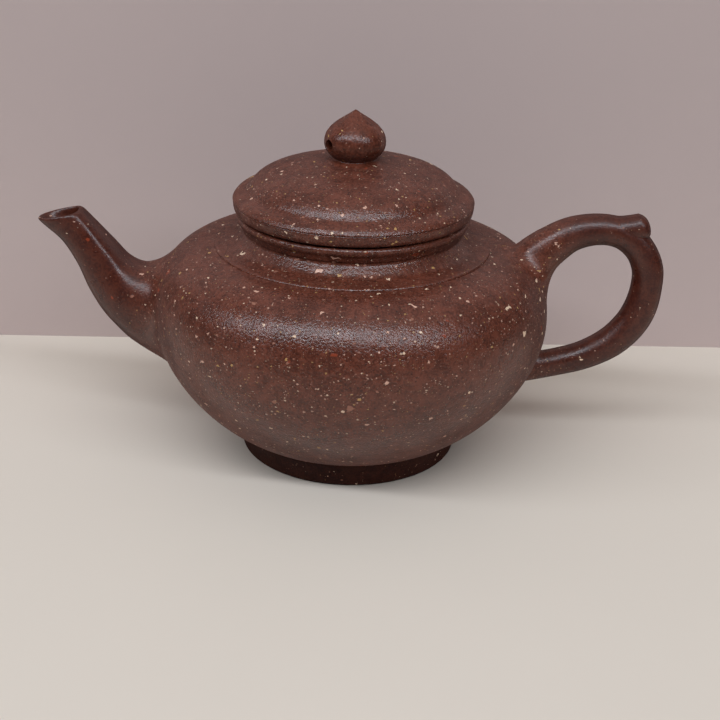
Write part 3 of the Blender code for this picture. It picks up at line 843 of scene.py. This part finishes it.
HANDLE_SECTION = [(0.0, 1.0), (0.40, 0.93), (0.74, 0.70), (0.93, 0.36), (0.985, 0.0), (0.93, -0.37),
                  (0.72, -0.70), (0.38, -0.93), (0.0, -1.0)]


def round_limb(bend, lines, rows):
    path = spline(bend, rows)
    path = np.column_stack([path, path[:, 2]])
    loop = closed_loop(HANDLE_SECTION, lines)
    return Limb(path, np.repeat(loop[None], len(path), axis=0))


def soften(made, centre, reach, passes):
    """Rubs a seam smooth round one place, less and less towards the reach."""
    work = bmesh.new()
    work.from_mesh(made.data)
    bmesh.ops.triangulate(work, faces=[f for f in work.faces if len(f.verts) > 4])
    near = [v for v in work.verts if (v.co - centre).length < reach * 1.3]
    before = [v.co.copy() for v in near]
    for _ in range(passes):
        bmesh.ops.smooth_vert(work, verts=near, factor=0.5, use_axis_x=True, use_axis_y=True, use_axis_z=True)
    for vertex, place in zip(near, before):
        share = max(0.0, 1 - (place - centre).length / reach)
        share = share * share * (3 - 2 * share)
        vertex.co = place.lerp(vertex.co, min(1.0, 1.6 * share))
    work.to_mesh(made.data)
    work.free()


class TEAPOT_OT_handle(bpy.types.Operator):
    """Ear handle with its two flared roots and the thumb rest"""
    bl_idname = "teapot.handle"
    bl_label = "Handle"

    def execute(self, context):
        shape = context.scene.teapot_shape
        outline = belly_skin()
        limb = round_limb(HANDLE_BEND, HANDLE_LINES, 40)
        loop = closed_loop(HANDLE_SECTION, HANDLE_LINES)
        outside = np.clip(loop[:, 1], 0, 1)
        inside = np.clip(-loop[:, 1], 0, 1)
        upper = shape.handle_flare * (1 - 0.4 * outside + 0.35 * inside)
        lower = shape.lower_flare * (1 + 0.25 * inside)
        heights = heights_of(limb, outline)
        start = root_rings(limb, heights, outline, upper)
        end = root_rings(limb, heights, outline, lower, backwards=True)[::-1]
        leaves = limb.reaches(heights - upper[None, :], 0.0)
        lands = limb.reaches(heights - lower[None, :], 0.0, backwards=True)
        first_cap = [start[0].mean(0) - np.array([0.8 * MM, 0.0, 0.0])]
        last_cap = [end[-1].mean(0) - np.array([0.8 * MM, 0.0, 0.0])]
        rings = [first_cap] + start + lines_between(limb, leaves, lands, 150) + end + [last_cap]
        ear = rings_to_mesh("ear_handle", rings, crease=60)

        rest = round_limb(THUMB_REST, THUMB_LINES, 24)
        rows = [rest.grid[i] for i in range(0, len(rest.grid), 2)]
        tip = rows[-1]
        middle = tip.mean(0)
        for share, ahead in THUMB_END:
            rows.append(middle + (tip - middle) * share + np.array([ahead * MM, 0.0, 0.0]))
        rows.append([middle + np.array([THUMB_POLE, 0.0, 0.0])])
        thumb = rings_to_mesh("thumb_rest", [[rows[0].mean(0)]] + rows, crease=60)
        join = ear.modifiers.new("Join", "BOOLEAN")
        join.operation = "UNION"
        join.solver = "EXACT"
        join.object = thumb
        bake_modifiers(ear)
        bpy.data.objects.remove(thumb)
        soften(ear, Vector(THUMB_SEAM), 5.0 * MM, 10)
        ear.data.shade_smooth()
        ear.data.set_sharp_from_angle(angle=math.radians(60))
        seat(ear, "pot", ["handle"], clay("drawn"))
        return {"FINISHED"}


class TEAPOT_OT_lid(bpy.types.Operator):
    """Domed lid with its rolled edge, the band under it and the flange that drops into the mouth"""
    bl_idname = "teapot.lid"
    bl_label = "Lid"

    def execute(self, context):
        shape = context.scene.teapot_shape
        edge = LID_RADIUS - 0.1 * MM
        dome = spline([(shape.vent, LID_TOP)]
                      + in_mm([(3.5, 73.58), (7.0, 73.5), (12.0, 72.9), (17.0, 71.9), (20.0, 70.97),
                               (22.0, 70.05), (23.5, 69.05), (24.6, 67.95), (25.3, 66.98), (25.9, 66.42),
                               (26.7, 66.1), (27.6, 65.8), (28.35, 65.35), (28.85, 64.8)])
                      + [(edge, 64.4 * MM), (edge, LID_SEAT - 0.02 * MM),
                         (edge - 0.2 * MM, LID_SEAT - 0.15 * MM)], 7)
        inner = FLANGE_RADIUS - 2.4 * MM
        under = spline([(inner, LID_SEAT - 0.15 * MM), (19.6 * MM, 65.6 * MM), (17.5 * MM, 66.9 * MM),
                        (12.0 * MM, 69.0 * MM), (6.0 * MM, 70.0 * MM), (shape.vent, 70.2 * MM)], 6)
        cap = turn("lid_cap", list(dome) + list(under))
        seat(cap, "lid", ["lid_dome"], clay("speckled"))

        seam = LID_SEAT - 0.15 * MM
        band = spline([(edge - 0.2 * MM, seam), (edge - 0.06 * MM, seam - 0.2 * MM),
                       (edge - 0.05 * MM, seam - 0.6 * MM), (edge - 0.2 * MM, RIM_BOTTOM + 1.1 * MM),
                       (edge - 0.5 * MM, RIM_BOTTOM + 0.4 * MM), (edge - 0.95 * MM, RIM_BOTTOM + 0.1 * MM),
                       (edge - 1.6 * MM, RIM_BOTTOM)], 6)
        inside = [(FLANGE_RADIUS, RIM_BOTTOM), (FLANGE_RADIUS, seam)]
        ring = turn("lid_band", list(band) + inside)
        seat(ring, "lid", ["lid_rim_ring"], clay("speckled"))

        foot = spline(beside(FLANGE_RADIUS, FLANGE_BOTTOM, [(0, 0.9), (-0.2, 0.25), (-0.8, 0)])
                      + beside(inner, FLANGE_BOTTOM, [(0.8, 0), (0.25, 0.25), (0, 0.9)]), 5)
        flange = [(FLANGE_RADIUS, seam)] + list(foot) + [(inner, seam)]
        seat(turn("lid_collar", flange, 128), "lid", ["lid_flange"], clay("unburnished"))
        return {"FINISHED"}


class TEAPOT_OT_knob(bpy.types.Operator):
    """Pointed bead knob with the air hole in its side"""
    bl_idname = "teapot.knob"
    bl_label = "Knob"

    def execute(self, context):
        shape = context.scene.teapot_shape
        bulb = spline([(0.0, KNOB_TIP)]
                      + in_mm([(0.45, 85.65), (1.2, 85.1), (2.5, 84.25), (4.15, 83.15), (5.8, 81.75),
                               (6.95, 80.15)])
                      + [(KNOB_RADIUS, 78.5 * MM)]
                      + in_mm([(7.2, 77.0), (6.55, 75.75), (5.75, 74.95), (5.25, 74.45), (5.3, 74.15),
                               (5.75, 73.95)])
                      + [(6.3 * MM, KNOB_BOTTOM - 0.02 * MM), (6.8 * MM, 73.52 * MM)], 6)
        bulb[0, 0] = 0.0
        knob = turn("bead_knob", list(bulb) + [(5.5 * MM, 73.2 * MM), (0.0, 73.2 * MM)], 120, crease=50)
        level = 77.9 * MM
        place = Matrix.Translation((0.0, 0.0, level)) @ Matrix.Rotation(shape.vent_direction, 4, "Z")
        place = place @ Matrix.Rotation(math.radians(90), 4, "Y")
        hole = self.drill(shape.vent, -0.5 * MM, KNOB_RADIUS * 1.4, place, KNOB_RADIUS - 0.5 * MM)
        cut(knob, hole)
        shaft = self.drill(shape.vent, 69.0 * MM, level + 0.6 * MM, Matrix.Identity(4), None)
        cut(knob, shaft)
        knob.data.shade_smooth()
        knob.data.set_sharp_from_angle(angle=math.radians(50))
        seat(knob, "lid", ["knob"], clay("knob"))
        return {"FINISHED"}

    @staticmethod
    def drill(radius, start, end, place, flare_from):
        """A round cutter along its own Z, widening past flare_from where one is given."""
        stations = [(start, 1.0), (end, 1.0)]
        if flare_from is not None:
            stations = [(start, 1.0), (flare_from - 0.5 * MM, 1.0), (flare_from + 0.1 * MM, 1.06),
                        (flare_from + 0.6 * MM, 1.2), (end, 1.6)]
        rings = [[place @ Vector((0.0, 0.0, start))]]
        for height, wide in stations:
            reach = radius * wide
            angles = [2 * math.pi * i / 36 for i in range(36)]
            rings.append([place @ Vector((reach * math.cos(a), reach * math.sin(a), height)) for a in angles])
        rings.append([place @ Vector((0.0, 0.0, end))])
        return rings_to_mesh("drill", rings)


# Studio

def add_light(name, size, power, colour, place, target):
    data = bpy.data.lights.new(name, "AREA")
    data.shape = "RECTANGLE"
    data.size, data.size_y = size
    data.energy = power
    data.color = colour
    lamp = bpy.data.objects.new(name, data)
    lamp.location = place
    lamp.rotation_euler = (Vector(target) - Vector(place)).to_track_quat("-Z", "Y").to_euler()
    bpy.context.scene.collection.objects.link(lamp)
    return lamp


class TEAPOT_OT_stage(bpy.types.Operator):
    """Pale floor, plain wall, soft lights and the camera"""
    bl_idname = "teapot.stage"
    bl_label = "Stage"

    def execute(self, context):
        settings = context.scene.teapot_stage
        wall_y = settings.wall_distance
        reach = FLOOR_REACH
        floor = self.sheet("stage_floor", [(-reach, -reach, 0.0), (reach, -reach, 0.0), (reach, reach, 0.0),
                                           (-reach, reach, 0.0)])
        floor.data.materials.append(plain_material("pale floor", tuple(settings.floor_colour), 0.55, 0.04))
        side, height = WALL_REACH, WALL_HEIGHT
        wall = self.sheet("stage_wall", [(-side, wall_y, 0.0), (side, wall_y, 0.0), (side, wall_y, height),
                                         (-side, wall_y, height)])
        wall.data.materials.append(plain_material("grey wall", tuple(settings.wall_colour), 0.7, 0.05))
        turn_about = Matrix.Translation((0.0, wall_y, 0.0)) @ Matrix.Rotation(WALL_TURN, 4, "Z")
        wall.data.transform(turn_about @ Matrix.Translation((0.0, -wall_y, 0.0)))

        add_light("strip light", (4.2, 0.16), settings.strip_power, (0.84, 0.91, 1.0), (-0.15, -0.85, 1.10),
                  (0, 0, 0.05))
        add_light("ceiling light", (2.6, 2.0), settings.ceiling_power, (1.0, 0.97, 0.93), (0.2, -0.1, 1.7),
                  (0, 0, 0))
        world = bpy.data.worlds.new("soft studio")
        world.use_nodes = True
        background = world.node_tree.nodes["Background"]
        background.inputs["Color"].default_value = (0.80, 0.83, 0.90, 1.0)
        background.inputs["Strength"].default_value = 0.06
        context.scene.world = world
        context.scene.view_settings.view_transform = "Standard"

        data = bpy.data.cameras.new("main camera")
        data.lens = 70.0
        data.sensor_width = 36.0
        data.clip_start = 0.01
        data.dof.use_dof = False
        camera = bpy.data.objects.new("main camera", data)
        camera.matrix_world = (Matrix.Translation(CAMERA_PLACE)
                               @ Matrix.Rotation(math.radians(90) - CAMERA_DOWN, 4, "X")
                               @ Matrix.Rotation(CAMERA_ROLL, 4, "Z"))
        context.scene.collection.objects.link(camera)
        context.scene.camera = camera
        return {"FINISHED"}

    @staticmethod
    def sheet(name, corners):
        """A flat sheet whose front is where its corners run anticlockwise."""
        mesh = bpy.data.meshes.new(name)
        mesh.from_pydata(corners, [], [(0, 1, 2, 3)])
        made = bpy.data.objects.new(name, mesh)
        bpy.context.scene.collection.objects.link(made)
        return made


class TEAPOT_PT_pieces(bpy.types.Panel):
    bl_idname = "TEAPOT_PT_pieces"
    bl_label = "Clay Teapot"
    bl_space_type = "VIEW_3D"
    bl_region_type = "UI"
    bl_category = "Teapot"

    def draw(self, context):
        for operator in OPERATORS:
            self.layout.operator(operator.bl_idname)
        for group_name, group in GROUPS.items():
            box = self.layout.box()
            for name in group.__annotations__:
                box.prop(getattr(context.scene, group_name), name)


OPERATORS = (TEAPOT_OT_body, TEAPOT_OT_mouth, TEAPOT_OT_spout, TEAPOT_OT_handle, TEAPOT_OT_lid,
             TEAPOT_OT_knob, TEAPOT_OT_stage)
GROUPS = {"teapot_shape": TeapotShape, "teapot_clay": TeapotClay, "teapot_stage": TeapotStage}


def register():
    for group in GROUPS.values():
        bpy.utils.register_class(group)
    for name, group in GROUPS.items():
        setattr(bpy.types.Scene, name, bpy.props.PointerProperty(type=group))
    for operator in OPERATORS:
        bpy.utils.register_class(operator)
    bpy.utils.register_class(TEAPOT_PT_pieces)


def unregister():
    bpy.utils.unregister_class(TEAPOT_PT_pieces)
    for operator in reversed(OPERATORS):
        bpy.utils.unregister_class(operator)
    for name in GROUPS:
        delattr(bpy.types.Scene, name)
    for group in reversed(list(GROUPS.values())):
        bpy.utils.unregister_class(group)


def main():
    for leftover in [o for o in bpy.data.objects if o.type in {"LIGHT", "CAMERA"}]:
        bpy.data.objects.remove(leftover)
    register()
    bpy.ops.teapot.body()
    bpy.ops.teapot.mouth()
    bpy.ops.teapot.spout()
    bpy.ops.teapot.handle()
    bpy.ops.teapot.lid()
    bpy.ops.teapot.knob()
    bpy.ops.teapot.stage()


if __name__ == "__main__":
    main()
